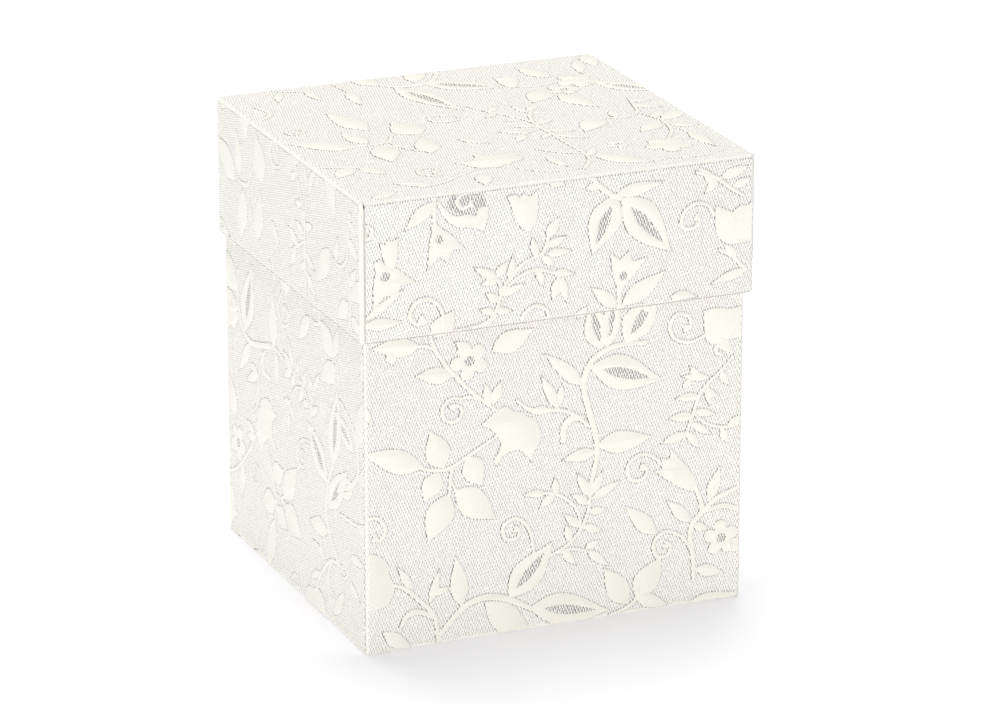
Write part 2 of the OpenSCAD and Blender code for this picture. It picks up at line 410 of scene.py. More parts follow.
def edit(obj, kind="FACE"):
    """Takes a piece in hand, to pick its faces or its edges, with none picked yet."""
    bpy.context.view_layer.objects.active = obj
    obj.select_set(True)
    bpy.ops.object.mode_set(mode="EDIT")
    bpy.ops.mesh.select_mode(type=kind)
    let_go()


def pick(items, test=lambda item: True):
    """Selects the mesh's items for which test holds, and goes back to edit mode."""
    for item in items:
        item.select = bool(test(item))
    bpy.ops.object.mode_set(mode="EDIT")


def let_go():
    """Nothing selected in the mesh, and out of edit mode."""
    bpy.ops.mesh.select_all(action="DESELECT")
    bpy.ops.object.mode_set(mode="OBJECT")


def outwards():
    """Turns every face of the closed mesh in hand outwards."""
    bpy.ops.mesh.select_all(action="SELECT")
    bpy.ops.mesh.normals_make_consistent(inside=False)


def points(mesh):
    """The mesh's points, one row each."""
    co = np.empty(len(mesh.vertices) * 3)
    mesh.vertices.foreach_get("co", co)
    return co.reshape(-1, 3)


def lay_sheet(mesh, flat, face_name=None):
    """The sheet's own millimetres as a UV map; side walls carry the weave the other way."""
    layer = mesh.uv_layers.new(name="sheet")
    index = np.empty(len(mesh.loops), int)
    mesh.loops.foreach_get("vertex_index", index)
    uv = flat[index][:, :2] * (TOP_WEAVE if face_name == "lid_top" else 1)
    if face_name in TURNED_WEAVE:
        uv = uv[:, ::-1] * SIDE_WEAVE
    layer.data.foreach_set("uv", uv.astype(np.float32).ravel())


def stand_up(obj, face_name, tucked=False):
    """Takes a flat piece off the bench: UV map first, then its place on the box."""
    flat = points(obj.data)
    lay_sheet(obj.data, flat, face_name)
    obj.data.vertices.foreach_set("co", FACES[face_name].stand(flat, tucked).ravel())
    obj.data.update()


def hand_over(obj, name, body, slot, *nodes):
    """Names a finished piece and says what it rides on and the nodes it stands for. The slot is not used.
    """
    obj.name = obj.data.name = name
    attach(obj, body)
    if nodes:
        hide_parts(*nodes)
    free_hands()


# ---------------------------------------------------------------- walls and creases


def saw(wall, at, axis):
    """Splits the wall's faces where it crosses a plane square to an axis."""
    point, normal = [0, 0, 0], [0, 0, 0]
    point[axis], normal[axis] = at, 1
    pick(wall.data.polygons)
    bpy.ops.mesh.bisect(plane_co=point, plane_no=normal)
    let_go()


def reach_floor(wall, face_name):
    """Lets a base wall reach the floor on both sides of its bottom crease."""
    face = FACES[face_name]
    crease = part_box("bottom_fold_" + face_name.split("_")[1])
    start, end = sorted(Vector(corner).dot(face.right) / MM for corner in crease)
    for at in (start, end):
        saw(wall, at, 0)
    pick(wall.data.polygons, lambda p: p.normal.y < -0.9 and not start < p.center.x < end)
    bpy.ops.mesh.extrude_region_move(TRANSFORM_OT_translate={"value": (0, -FOLD, 0)})
    let_go()


def soften_cuts(wall, face):
    """Rounds the long edges where the card was cut, and leaves the ends that meet a crease."""
    left, right, low, high = face.limits()
    co = points(wall.data)
    cuts = [(axis, at) for side, axis, at in (
        ("left", 0, left), ("right", 0, right), ("bottom", 1, low), ("top", 1, high))
        if face.edges[side] == "cut"]

    def on_cut(edge):
        a, b = co[list(edge.vertices)]
        return abs(a[2] - b[2]) < 1e-5 and any(
            abs(a[axis] - at) < 1e-4 and abs(b[axis] - at) < 1e-4 for axis, at in cuts)

    edit(wall, "EDGE")
    pick(wall.data.edges, on_cut)
    bpy.ops.mesh.bevel(
        offset=bpy.context.scene.card_sizes.edge_round / MM, segments=3, affect="EDGES", clamp_overlap=True)
    outwards()
    bpy.ops.object.mode_set(mode="OBJECT")


def cut_wall(face_name, node):
    """One wall of card, cut on the bench with softened die-cut edges, then stood in place."""
    face = FACES[face_name]
    left, right, low, high = face.limits()
    foot = FOLD if node.startswith("base") else 0.0
    banded = node.startswith("lid") and node.endswith("wall")
    free_hands()
    middle = ((left + right) / 2, (low + foot + high) / 2, -CARD / 2)
    bpy.ops.mesh.primitive_cube_add(size=1, location=middle, scale=(right - left, high - low - foot, CARD))
    wall = bpy.context.object
    bpy.ops.object.transform_apply(location=True, rotation=False, scale=True)
    edit(wall)
    if foot:
        reach_floor(wall, face_name)
    if banded:
        saw(wall, low + EDGE_BAND, 1)
    soften_cuts(wall, face)
    # 0 is the outer side, 1 the inner side, 2 a cut edge, with some painted shade, and 3 the strip along
    # the lid's lower edge, mostly painted shadow.
    sides = [0 if p.normal.z > 0.95 else 1 if p.normal.z < -0.95 else 2 for p in wall.data.polygons]
    if banded:
        sides = [3 if p.normal.z > 0.1 and p.center.y < low + EDGE_BAND else side
                 for side, p in zip(sides, wall.data.polygons)]
    stand_up(wall, face_name)
    for slot in ("embossed_card", "card_inside", "cut_edge", "foot_edge_shadow"):
        wall.data.materials.append(finish(slot))
    wall.data.polygons.foreach_set("material_index", sides)
    bpy.ops.object.shade_smooth_by_angle(angle=CARD_ANGLE)
    hand_over(wall, face_name + "_card", node.split("_")[0], "embossed_card", node)


def spin_crease(node, body, woven=True):
    """A crease: the card's section swept a quarter turn about the inside of the fold."""
    low, high = (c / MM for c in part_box(node))
    corner = node.startswith("lid_corner")
    if corner:
        high.z += CORNER_HEAD
    if node == "base_fold_seam":
        low.z = SEAM_FOOT
    size = high - low
    axis = max(range(3), key=lambda i: size[i])
    sides = [i for i in range(3) if i != axis]
    centre, outward = Vector((0, 0, 0)), []
    for i in sides:
        away = 1 if (low[i] + high[i]) / 2 > MIDDLE[i] / MM else -1
        centre[i] = low[i] if away > 0 else high[i]
        outward.append(Vector([away if k == i else 0 for k in range(3)]))
    centre[axis] = (low[axis] + high[axis]) / 2
    start, end = outward
    free_hands()
    bpy.ops.mesh.primitive_plane_add(size=1)
    strip = bpy.context.object
    along = Vector([1 if k == axis else 0 for k in range(3)])
    radii = (FOLD - CARD, FOLD)
    for vertex in strip.data.vertices:
        radius = radii[vertex.co.x > 0]
        vertex.co = centre + start * radius + along * (size[axis] * (0.5 if vertex.co.y > 0 else -0.5))
    edit(strip)
    pick(strip.data.polygons)
    bpy.ops.mesh.spin(steps=10, angle=math.pi / 2, center=centre, axis=end.cross(start))
    bpy.ops.object.mode_set(mode="OBJECT")
    ring = points(strip.data) - np.array(centre)
    if (ring @ np.array(end)).min() < -0.01:
        raise RuntimeError(f"{node}: the crease was swept the wrong way")
    bpy.ops.object.mode_set(mode="EDIT")
    bpy.ops.mesh.select_all(action="SELECT")
    bpy.ops.mesh.remove_doubles(threshold=0.001)
    outwards()
    let_go()
    if corner:
        close_corner(strip, centre)
    if woven:
        weave_crease(strip.data, centre, start, end, axis, node)
    strip.data.transform(Matrix.Scale(MM, 4))
    strip.data.materials.append(finish("embossed_card" if woven else "card_crease"))
    bpy.ops.object.shade_smooth_by_angle(angle=CARD_ANGLE)
    hand_over(strip, node + "_card", body, "card_crease", node)


def close_corner(strip, centre):
    """Rounds off the head of a lid corner in three shrinking steps, where three creases meet."""
    for rise, share in ((0.3, 0.93), (0.25, 0.75), (0.15, 0.45)):
        edit(strip)
        head = max(v.co.z for v in strip.data.vertices)
        pick(strip.data.polygons, lambda p: p.normal.z > 0.9 and p.center.z > head - 0.01)
        bpy.ops.mesh.extrude_region_move(TRANSFORM_OT_translate={"value": (0, 0, rise)})
        bpy.ops.transform.resize(value=(share, share, 1), center_override=centre)
        let_go()


def ramp(turn, start, length):
    """0 before start, rising to 1 over a length, in radians round a crease."""
    return np.clip((turn - start) / length, 0, 1)


def dip(turn, middle, width, depth=1.0):
    """A soft-edged line round a crease's middle angle."""
    return np.exp(-((turn - middle) / width) ** 2) * depth


def weave_crease(mesh, centre, start, end, axis, node):
    """Lets the weave run round a crease, pressed smooth along its middle or a corner's front.

    The creases at the back and at the right are pressed less, and keep more of the weave.
    """
    ring = points(mesh) - np.array(centre)
    turn = np.arctan2(ring @ np.array(end), ring @ np.array(start))
    upright = axis == 2
    flat = np.stack([points(mesh)[:, axis], turn * FOLD], 1)
    lay_sheet(mesh, flat[:, ::-1] if upright else flat)
    soft = "back" in node or "right" in node
    # line is painted shade along the crease: a band where the fold turns away from the light, strongest on
    # the back and right creases, and a fainter line where it meets the wall.
    if upright and soft:
        pressed, line = turn * 0, dip(turn, 0.55, 0.25)
    elif node.startswith("lid_corner"):
        pressed, line = ramp(turn, 0.2, 0.25), dip(turn, 0.12, 0.12, 0.5)
    elif upright:
        pressed, line = ramp(turn, 0.7, 0.2) * ramp(-turn, -1.4, 0.2), dip(turn, 0.45, 0.18, 0.8)
    else:
        pressed, line = np.sin(turn * 2) ** 4 * (0.1 if soft else 1), dip(turn, 0.16, 0.14, 0.8)
    for name, values in (("rim", line), ("raised", pressed)):
        mesh.attributes.new(name, "FLOAT", "POINT").data.foreach_set("value", values.astype(np.float32))


# ---------------------------------------------------------------- the pattern


def curve(knots, corners=(), steps=4, closed=True):
    """A smooth line through the knots, sharp at the numbered corners."""
    knots = np.array(knots, float)
    count = len(knots)
    ahead, behind = np.roll(knots, -1, 0), np.roll(knots, 1, 0)
    if not closed:
        ahead[-1], behind[0] = knots[-1], knots[0]
    slope = (ahead - behind) / 2
    slope[list(corners)] = 0
    out = []
    for i in range(count if closed else count - 1):
        j = (i + 1) % count
        for t in np.arange(steps) / steps:
            out.append((2 * t**3 - 3 * t**2 + 1) * knots[i] + (t**3 - 2 * t**2 + t) * slope[i]
                       + (3 * t**2 - 2 * t**3) * knots[j] + (t**3 - t**2) * slope[j])
    if not closed:
        out.append(knots[-1])
    return np.array(out)


# Each motif lies along x from its stalk at 0 to its tip at 1 and is 1 wide.
TRIM = 0.93
STEM_TRIM = 0.86
STEM_END = 0.72
BUD_START = 0.86
# Millimetres: how far in a motif's flat top starts, the step between overlapping motifs, how far
# a pattern runs past a fold or a cut and above a base wall's crease, how high a hatch stands,
# and the height that parts the hidden underside of a pattern from the rest.
TOP_REACH = -0.09
LEVEL = 0.0012
PAST_FOLD = 0.15
PAST_CUT = 0.2
ABOVE_CREASE = 0.3
HATCH_HEIGHT = 0.006
UNDERSIDE = -0.03
# Shares: a hole's pressed margin and a hatch's step and painted shade tone, against a solid motif's, and
# how smooth the motifs of the side walls are, against those of the front.
HOLE_MARGIN = 0.8
HATCH_STEP = 0.6
HATCH_TONE = 0.66
SIDE_SMOOTH = 0.72
LEAF = curve([(0, 0), (.14, .26), (.36, .49), (.62, .42), (.85, .17), (1, 0),
              (.84, -.15), (.6, -.4), (.34, -.5), (.13, -.28)], (0, 5), 3)
LEAF_SLOT = curve([(.18, 0), (.37, .14), (.6, .125), (.82, .0), (.6, -.11), (.37, -.13)], (0, 3), 3)
BELL = curve([(0, .07), (.22, .13), (.5, .3), (.78, .42), (1.02, .55), (.86, .2), (.9, .12), (1.12, .02),
              (.88, -.16), (.84, -.2), (1, -.5), (.74, -.4), (.46, -.3), (.2, -.13), (0, -.07)],
             (0, 4, 5, 7, 9, 10, 14), 3)
EYELET = curve([(.44, .1), (.56, .0), (.44, -.1), (.32, .0)], (), 3)
TULIP = curve([(0, .06), (.2, .26), (.5, .4), (.78, .44), (1, .5), (.9, .24), (.93, .12), (1.04, 0),
               (.9, -.14), (.86, -.24), (.97, -.48), (.7, -.44), (.42, -.38), (.16, -.24), (0, -.06)],
              (0, 4, 5, 7, 9, 10, 14), 3)
# The large bloom, in millimetres about its middle.
BLOOM = curve([(-7, 2), (-3.8, 4.4), (-1.8, 5.2), (0, 3.8), (2, 3.5), (2.6, 2.5), (4.3, 1.8), (5.6, -1.5),
               (5, -4), (4.1, -5), (3.8, -7.2), (2, -4.8), (.8, -4), (-1, -4.2), (-2.4, -5), (-3.6, -6.8),
               (-4.2, -5.6), (-3.1, -3.5), (-2.7, -2), (-3.7, -.5), (-5, 1)], (0, 3, 10, 12, 15, 19), 3)


def rosette(petals, notch):
    """A round flower of a few petals, one millimetre in radius."""
    angle = np.linspace(0, TURN, petals * 8, endpoint=False)
    radius = 1 - notch * (1 - np.abs(np.cos(angle * petals / 2))) ** 1.6
    return np.stack([radius * np.cos(angle), radius * np.sin(angle)], 1)


ROSE = rosette(5, 0.42)
EYE = rosette(1, 0.0)


def between(shape, start, tip, width):
    """A unit motif laid from its stalk to its tip."""
    start, tip = np.array(start, float), np.array(tip, float)
    run = tip - start
    length = math.hypot(*run)
    across = np.array([-run[1], run[0]]) / length
    return start + shape[:, :1] * run + shape[:, 1:] * across * width * TRIM


def about(shape, centre, size, turn=0.0):
    """A motif of its own size, laid about its middle."""
    c, s = math.cos(turn), math.sin(turn)
    return np.array(centre, float) + shape @ np.array([[c, s], [-s, c]]) * size


def ribbon(knots, width, bud=0.0):
    """A stem along the knots, thinning to its ends, or ending in a round bud."""
    line = curve(knots, (), 5, closed=False)
    width *= STEM_TRIM
    run = np.gradient(line, axis=0)
    run /= np.maximum(np.hypot(*run.T), 1e-9)[:, None]
    across = np.stack([-run[:, 1], run[:, 0]], 1)
    t = np.linspace(0, 1, len(line))[:, None]
    half = width / 2 * (STEM_END + (1 - STEM_END) * np.sin(np.pi * t))
    if bud:
        swell = np.sin((t - BUD_START) / (1 - BUD_START) * np.pi * 0.6)
        end = width / 2 * STEM_END
        half = np.where(t > BUD_START, end + (bud - end) * swell, half)
    return np.concatenate([line + across * half, (line - across * half)[::-1]])


def curl(centre, radius, start, turns, width=0.95):
    """A spiral tendril: start is the angle of its outer end in degrees, turns its signed winding."""
    angle = math.radians(start) + np.linspace(0, 1, 9) * turns * TURN
    reach = radius * (1 - np.linspace(0, 1, 9) ** 1.35 * 0.72)
    knots = np.stack([centre[0] + reach * np.cos(angle), centre[1] + reach * np.sin(angle)], 1)
    return ribbon(knots, width, bud=0.95)


def motif_loops(item):
    """An entry of a pattern list as [outline, hole, ...] in the list's own millimetres."""
    kind, *rest = item
    if kind == "leaf":
        return [between(LEAF, *rest)]
    if kind == "slit":
        return [between(LEAF, *rest), between(LEAF_SLOT, *rest)]
    if kind == "bell":
        return [between(BELL, *rest), between(EYELET, *rest)]
    if kind == "tulip":
        return [between(TULIP, *rest)]
    if kind == "bloom":
        return [about(BLOOM * (1, -1), *rest)]
    if kind == "rose":
        return [about(ROSE, *rest)]
    if kind == "ring":
        return [about(ROSE, *rest), about(EYE, rest[0], rest[1] * 0.27)]
    if kind in ("petal", "hatch"):
        return [curve(*rest, 3)]
    if kind == "curl":
        return [curl(*rest)]
    if kind == "stem":
        return [ribbon(*rest)]
    raise RuntimeError(f"there is no motif called {kind}")


# Pattern lists: millimetres to the right and down from a face's upper left corner.
BODY_PATTERN = [
    ("stem", [(13.3, -.5), (14.5, 3), (16.5, 6.5), (19, 9.5), (21.5, 12.3), (24.5, 15),
              (27.5, 17.6)], 1.0), ("leaf", (11.5, 2.3), (1.5, 1.6), 4.2),
    ("leaf", (5.2, 2.5), (6.2, 5.4), 2.4), ("stem", [(10.5, 2.2), (13, 2.6), (15, 3.8)], .9),
    ("leaf", (18.2, 9), (10.4, 8.2), 3.7), ("ring", (21.7, 6.6), 3.9, .5),
    ("leaf", (22.4, 5), (18.6, 2.4), 2.6), ("leaf", (26.4, 5.3), (35, 1.8), 5),
    ("leaf", (26, 16.2), (24.8, 11.4), 2.2), ("leaf", (26.4, 16.2), (28.3, 11.4), 2.4),
    ("curl", (18.5, 16.4), 2.9, -48, -1.25), ("stem", [(23.5, 14.6), (21.8, 13.9), (20.2, 13.9)], .9),
    ("bloom", (31, 22), 1.0), ("leaf", (38.5, 18.7), (33.8, 18.6), 2.0),
    ("stem", [(28, 22.3), (22, 25.5), (17.5, 27.8), (14, 27.7), (10.5, 26.6)], 1.0),
    ("stem", [(18.2, 27.2), (17.7, 30), (17.4, 34)], .9),
    ("stem", [(17.9, 30.5), (19, 33), (20.5, 34.4)], .8), ("leaf", (16.3, 27.6), (13.4, 19.6), 5.6),
    ("leaf", (12.2, 26.8), (-.6, 22.4), 5.2), ("leaf", (15.3, 28.2), (12.2, 34), 4.8),
    ("leaf", (21, 25.9), (24.4, 32.4), 5.2), ("leaf", (17.3, 33), (13, 42.4), 6.4),
    ("leaf", (18.6, 32.4), (27.3, 39.6), 6.4),
    ("stem", [(59, 7.9), (54, 7.5), (50.5, 8.1), (47.5, 9.8), (45.9, 12.5), (45.6, 15.5), (46.5, 19.5),
              (47.5, 23), (48.3, 26), (48.5, 29), (48, 32), (47.2, 35)], 1.5),
    ("slit", (49.4, 8), (46.6, -2), 5.8), ("slit", (50.4, 7.8), (52, -3), 4.6),
    ("slit", (54.2, 7.4), (61, -2.5), 7), ("slit", (46.9, 11.2), (62.4, 15.9), 7.6),
    ("leaf", (45.6, 14.8), (37.2, 7.2), 3.2),
    ("stem", [(31.4, 15.8), (34, 18), (37.5, 18.8), (41, 19.3), (44, 20.8), (47, 23.6)], 1.0),
    ("leaf", (40.3, 18.9), (36.5, 11.4), 2.4), ("leaf", (40.2, 18.6), (41, 13.8), 2),
    ("stem", [(45.6, 21.6), (43.2, 21.2), (41.4, 22.8), (41.3, 26)], 1.7),
    ("leaf", (48.4, 27.6), (60.2, 27.2), 5), ("leaf", (48.4, 28.6), (40.9, 29.6), 2.9),
    ("stem", [(47.2, 34), (47, 37), (46.8, 40), (45.8, 43), (44.2, 45.5), (41.8, 47.5), (38.4, 49)], .9),
    ("leaf", (47.2, 38.6), (53.6, 35.4), 2.1), ("leaf", (47, 37.8), (44.2, 32.6), 2.2),
    ("leaf", (47.1, 37.8), (49.8, 32.8), 2.1), ("leaf", (46.6, 41), (50.8, 41), 1.8),
    ("leaf", (46.9, 39.4), (43, 36.8), 1.9), ("leaf", (45.4, 43.8), (49.8, 45.4), 1.9),
    ("leaf", (45.2, 44), (41.2, 40.6), 1.9), ("leaf", (43, 46.6), (41.8, 42.8), 1.9),
    ("leaf", (46, 48.6), (49.2, 47.2), 1.8), ("leaf", (46.4, 49), (51.4, 53), 2),
    ("stem", [(33.4, 35.7), (37, 35.7), (40, 36.4), (43, 38.6), (44.6, 41), (45, 44.2)], .85),
    ("stem", [(40, 48.6), (43, 48.2), (46.4, 49)], .85), ("leaf", (39.6, 36.2), (36.2, 38.8), 2.1),
    ("leaf", (39.9, 36.4), (39.4, 32.8), 1.8), ("leaf", (37.6, 35.8), (33, 35.4), 1.8),
    ("leaf", (41, 48), (44.2, 51.6), 2),
    ("stem", [(35.2, 48.8), (34.8, 45), (33.6, 41.8), (31.2, 40.1), (28.7, 41.4), (29.2, 44),
              (31.5, 44.2), (32, 42.7), (30.9, 42.2)], 1.0, .75),
    ("stem", [(63, 34.4), (60.5, 31.6), (57.5, 30.8), (55, 32.8), (55.8, 35.7), (58.3, 35.8), (59.2, 34),
              (57.7, 33.3)], 1.0, .8), ("tulip", (70, 39.8), (62.3, 32.4), 6),
    ("leaf", (66, 36), (63.4, 36.4), 2.2),
    ("stem", [(69.5, 38.8), (70.7, 42), (71, 44.6), (69, 46.8), (68.6, 50), (69.3, 54), (69.4, 59)], 1.3),
    ("leaf", (61.3, 47.8), (54.4, 41), 3.8), ("leaf", (68.8, 46.4), (63.2, 41), 2.8),
    ("stem", [(69.2, 53), (66.8, 49.2), (63.2, 47.6), (60.8, 49.5), (61.3, 52.4), (63.7, 52.6),
              (64.4, 50.8), (63, 50.2)], 1.0, .8), ("leaf", (72.6, 42.6), (74.9, 35.4), 2.8),
    ("stem", [(70.6, 45.4), (74, 42.3), (81, 40)], 1.3),
    ("stem", [(71.3, 44.6), (76, 44), (81, 46.2)], 1.3), ("ring", (75.3, 50.6), 3.7, .9),
    ("leaf", (69.2, 47.2), (72.6, 48.2), 2), ("leaf", (76.4, 51.6), (81, 54), 3),
    ("leaf", (69.6, 56.4), (76.2, 58), 2.8), ("leaf", (55.4, 61.6), (50, 53.2), 5.2),
    ("leaf", (57, 60.6), (62.4, 52.6), 6), ("leaf", (56.8, 60.4), (64, 63), 3.2),
    ("stem", [(57.8, 57.6), (57, 60.8), (54.5, 62.5), (51, 63.4)], 1.0),
    ("leaf", (67, 65), (79.5, 62.6), 4.6),
    ("petal", [(-4, 44.4), (.6, 43), (3.2, 43.8), (4.9, 46), (4.8, 47.8), (6, 50.2), (5.2, 53.2),
               (2.6, 54.6), (-4, 55)], (0, 4, 8)),
    ("stem", [(5.4, 50), (8, 51), (11, 53.8), (13.8, 57), (14.8, 60), (15, 65)], 1.1),
    ("leaf", (9.8, 51.6), (6.6, 46.4), 1.9), ("leaf", (13.4, 55), (15.4, 48), 1.9),
    ("leaf", (13.5, 53.2), (17.8, 52.2), 1.7), ("leaf", (20, 56.6), (18.7, 46), 4),
    ("stem", [(7.3, 59), (8.6, 56.8), (11, 56.3), (14, 58)], 1.3),
    ("stem", [(14.8, 62.5), (18, 59), (21, 56.5), (24.5, 55.5), (28, 56), (31.5, 57.5), (35, 59.6)], 1.6),
    ("leaf", (3.5, 59.4), (10.5, 65), 3.2), ("slit", (29.9, 56.4), (39.2, 46), 7),
    ("slit", (34.2, 59.2), (51.4, 62.2), 7.2), ("slit", (24.8, 56.4), (36, 67), 6.2),
    ("petal", [(70.9, 3), (73.4, 2.6), (77, 3.2), (81, 2.6), (82, 7), (81, 10), (78.4, 9.4), (75.6, 9.6),
               (73.6, 10.2), (71.6, 9.2), (71, 6)], (0, 3, 5, 8)), ("leaf", (74, 9), (77.5, 12.6), 2.4),
    ("stem", [(71.4, 8), (68, 9), (64.8, 7.8), (63.7, 5), (65.2, 3), (67.6, 3.6), (68.1, 5.6),
              (66.6, 6.1)], 1.0, .8),
    ("stem", [(77.5, 13), (74.5, 16), (72, 18), (70, 20.5), (69, 23.5), (68, 26.5), (66.4, 30)], .9),
    ("curl", (74.6, 11.6), 1.7, 30, -.9), ("leaf", (72.4, 16.8), (66.2, 15.8), 1.8),
    ("leaf", (74.6, 15.8), (76.6, 19), 1.8), ("leaf", (70.4, 20.4), (65, 20.2), 2),
    ("leaf", (71.8, 18.4), (72.6, 22.8), 1.8), ("leaf", (69.2, 24.2), (63.4, 24.2), 2.2),
    ("leaf", (69, 23.4), (74, 24.6), 1.8), ("leaf", (68.2, 25.6), (73.2, 28.8), 1.8),
    ("leaf", (67.6, 27.6), (62, 29.2), 2.3), ("leaf", (67.6, 27.4), (70.4, 31.2), 1.9),
    ("stem", [(69, 23.8), (72, 26.4), (76, 27.6), (79, 27.2)], .8), ("leaf", (75, 27.6), (76.4, 31), 1.8),
    ("leaf", (76.4, 27.4), (80, 25.4), 1.8), ("leaf", (68.6, 16.4), (66.6, 18.6), 1.7),
    ("leaf", (70, 16.6), (68, 13.8), 1.7), ("leaf", (71, 19.4), (74.6, 21), 1.7),
    ("stem", [(-.5, 36), (2.4, 35.8), (4.2, 38), (3.2, 40.4), (1.6, 39.6)], 1.0, 1.0),
    ("leaf", (-1, 12.6), (2, 17), 2.2),
]
BAND_PATTERN = [
    ("stem", [(14.8, .4), (14.9, 3.5), (14.9, 7.2)], 1.1), ("leaf", (15, 1.3), (8.8, 6.4), 3.1),
    ("petal", [(15.2, .6), (17.4, 3.4), (19.4, 4.7), (22, 4.6), (23.3, 5.3), (24.2, 3.6), (26, 3.6),
               (25.8, 6), (25, 8.4), (22.4, 7.4), (19.4, 6.9), (16.8, 4.6)], (0, 4, 6, 8)),
    ("hatch", [(17.4, 2.4), (18.6, .8), (21.5, .3), (24.6, .9), (25.4, 3.3), (24, 3.4), (22.8, 4.4),
               (19.8, 4.2)], ()), ("bell", (14.7, 5.6), (17.5, 13), 8.8),
    ("tulip", (6.3, 13.8), (5.6, 7.6), 4.2), ("bell", (3.2, 11.6), (6.9, 19), 10.4),
    ("leaf", (.3, 23.4), (9, 17.6), 1.9), ("leaf", (.2, 24.2), (8.6, 24.2), 2.7),
    ("curl", (1, 6.2), 2, 150, 1),
    ("stem", [(16.8, 26.4), (16.2, 22.8), (13.8, 20.5), (11, 21), (9.8, 23.4), (11.3, 25.2),
              (13, 24.2)], 1.1, 1.1), ("leaf", (14.6, 29), (18.9, 23.2), 5),
    ("stem", [(18.4, 27.6), (22, 27.5), (25, 27), (27.6, 25.4)], 1.3),
    ("stem", [(20.4, .6), (19.4, 2), (20.6, 3.4), (22.6, 2.6)], .9, .9),
    ("tulip", (34.3, 9.6), (33.1, 2), 6.8), ("leaf", (32.4, 3.4), (29.6, 2.2), 2),
    ("stem", [(28.3, 22.4), (29.6, 19.3), (31.5, 17.2), (34, 15.4), (37.4, 14.5)], .9),
    ("stem", [(28.5, 21.6), (31.5, 18.8), (35, 17.5), (38, 17.9), (41, 19.4)], .9),
    ("stem", [(28.3, 21.6), (27.8, 24), (26.4, 26), (25.4, 28)], .85),
    ("leaf", (28, 18.3), (22.8, 15.4), 2.1), ("leaf", (27.6, 18), (30, 14.8), 2.1),
    ("leaf", (28, 18.4), (24.2, 19), 1.9), ("stem", [(27.8, 18.2), (28.4, 20), (28.4, 22)], .85),
    ("leaf", (30.4, 19.2), (31, 13.8), 1.9), ("leaf", (36, 15), (34.8, 10.8), 1.9),
    ("leaf", (38, 11.4), (40.6, 7.4), 2.6), ("stem", [(36.6, 14.8), (38, 12.6), (38.4, 10.4)], .85),
    ("leaf", (37.6, 13.2), (42.2, 11.4), 1.9), ("leaf", (37.8, 14.6), (43.2, 14.4), 1.9),
    ("leaf", (37, 14.8), (39.6, 17.2), 1.8), ("leaf", (36, 17.4), (37.4, 21), 1.8),
    ("leaf", (39.4, 18.4), (43.8, 19.2), 1.7), ("leaf", (40.6, 19.2), (39.2, 24.4), 2.2),
    ("leaf", (41, 19.4), (42.2, 25), 1.9), ("leaf", (28.6, 21.8), (33.4, 19.8), 1.8),
    ("leaf", (28.2, 22.8), (25.2, 20.8), 1.9), ("leaf", (27.2, 24.6), (31, 25), 1.7),
    ("leaf", (27.2, 24.8), (24, 24), 1.7), ("slit", (52.2, 4.4), (47.4, 16), 7.4),
    ("slit", (53.6, 5.2), (64.2, 17.4), 8), ("leaf", (52, 4.6), (62.4, 3), 2.9),
    ("stem", [(46.8, 0), (49, 2.5), (51.5, 4.5), (54.4, 5.8)], 1.3),
    ("leaf", (49, 2.2), (45.8, 2.6), 1.8), ("bell", (53.1, 24.2), (55, 16.8), 8.4),
    ("stem", [(53.1, 23), (53.3, 28)], 1.1), ("leaf", (53.6, 27), (63, 21), 4.2),
    ("leaf", (53, 27.2), (47, 22.4), 3),
    ("stem", [(73.2, 11.4), (71.6, 8.9), (68.8, 8.4), (66.4, 10.3), (66.5, 12.9), (68.8, 13.2),
              (69.9, 11.9), (69, 10.9)], 1.0, .8),
    ("petal", [(73.4, 9.2), (75.2, 10), (77, 11), (78.6, 9.8), (80.2, 10), (83, 7.4), (84, 13),
               (83, 17.8), (80, 17.4), (76.4, 17.4), (74, 15.6), (73.3, 12.6)], (0, 2, 4, 5, 7)),
    ("stem", [(74.2, 18.2), (77, 19.8), (80, 23)], 1.1), ("leaf", (80.4, 22.8), (72.6, 25), 2.2),
    ("leaf", (78, 20.4), (75.4, 17.2), 2), ("leaf", (74, 5.4), (69.6, 1), 2),
    ("stem", [(69, 2), (73, 3.4), (77, 6.4), (79.5, 8)], .9), ("leaf", (74.4, 3.8), (80.4, 2), 2.4),
    ("leaf", (77, 6), (81, 4.4), 2), ("leaf", (73.4, 4.2), (71, 6.6), 1.9),
    ("stem", [(33, 28.4), (33.3, 26), (35.6, 24.7), (38, 25.8), (38.4, 28.2)], 1.0),
    ("leaf", (38, .2), (42, 1.2), 1.8), ("leaf", (57, 27), (60, 30), 2),
    ("leaf", (64, 26.5), (70.4, 27.6), 3), ("leaf", (44, 29), (46.6, 26), 2.2),
]
